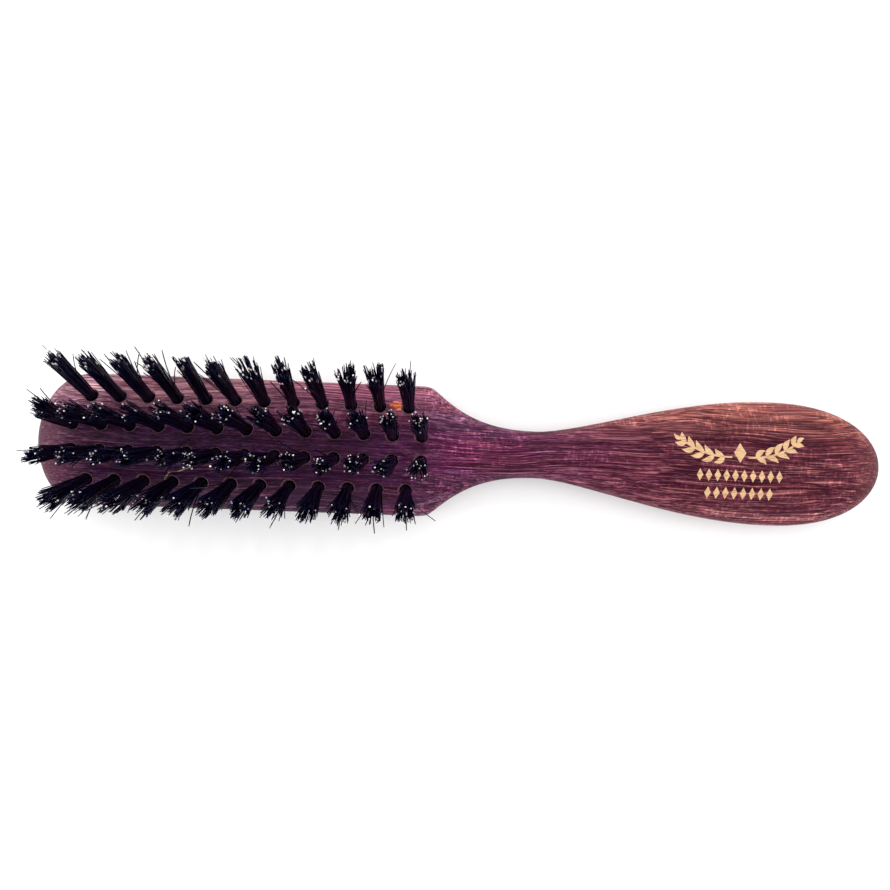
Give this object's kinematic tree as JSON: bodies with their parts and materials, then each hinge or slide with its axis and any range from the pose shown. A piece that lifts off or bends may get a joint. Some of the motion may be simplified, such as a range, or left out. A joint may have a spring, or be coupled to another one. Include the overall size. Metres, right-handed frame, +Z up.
{
  "type": "beard brush",
  "caption": "Long-handled beard brush: one turned and carved hardwood body with a narrow waist, set with rows of splayed black boar-bristle tufts.",
  "frame": {"origin": "on the surface that the brush lies on, under the middle of its bounding box", "axes": "+X runs from the head to the end of the handle, +Y across the brush, +Z up, the way the bristles point, out of the brush's back"},
  "size_m": [0.18, 0.0292, 0.028],
  "materials": {
    "hardwood": "satin",
    "boar_bristle": "satin",
    "anchor_wire": "satin",
    "emblem_print": "matte"
  },
  "bodies": {
    "root": {"wood_body": "hardwood", "tuft_row1_01": "boar_bristle", "tuft_row1_02": "boar_bristle", "tuft_row1_03": "boar_bristle", "tuft_row1_04": "boar_bristle", "tuft_row1_05": "boar_bristle", "tuft_row1_06": "boar_bristle", "tuft_row1_07": "boar_bristle", "tuft_row1_08": "boar_bristle", "tuft_row1_09": "boar_bristle", "tuft_row1_10": "boar_bristle", "tuft_row1_11": "boar_bristle", "tuft_row1_12": "boar_bristle", "tuft_row2_01": "boar_bristle", "tuft_row2_02": "boar_bristle", "tuft_row2_03": "boar_bristle", "tuft_row2_04": "boar_bristle", "tuft_row2_05": "boar_bristle", "tuft_row2_06": "boar_bristle", "tuft_row2_07": "boar_bristle", "tuft_row2_08": "boar_bristle", "tuft_row2_09": "boar_bristle", "tuft_row2_10": "boar_bristle", "tuft_row2_11": "boar_bristle", "tuft_row2_12": "boar_bristle", "tuft_row2_13": "boar_bristle", "tuft_row3_01": "boar_bristle", "tuft_row3_02": "boar_bristle", "tuft_row3_03": "boar_bristle", "tuft_row3_04": "boar_bristle", "tuft_row3_05": "boar_bristle", "tuft_row3_06": "boar_bristle", "tuft_row3_07": "boar_bristle", "tuft_row3_08": "boar_bristle", "tuft_row3_09": "boar_bristle", "tuft_row3_10": "boar_bristle", "tuft_row3_11": "boar_bristle", "tuft_row3_12": "boar_bristle", "tuft_row3_13": "boar_bristle", "tuft_row4_01": "boar_bristle", "tuft_row4_02": "boar_bristle", "tuft_row4_03": "boar_bristle", "tuft_row4_04": "boar_bristle", "tuft_row4_05": "boar_bristle", "tuft_row4_06": "boar_bristle", "tuft_row4_07": "boar_bristle", "tuft_row4_08": "boar_bristle", "tuft_row4_09": "boar_bristle", "tuft_row4_10": "boar_bristle", "tuft_row4_11": "boar_bristle", "tuft_row4_12": "boar_bristle"}
  },
  "joints": []
}
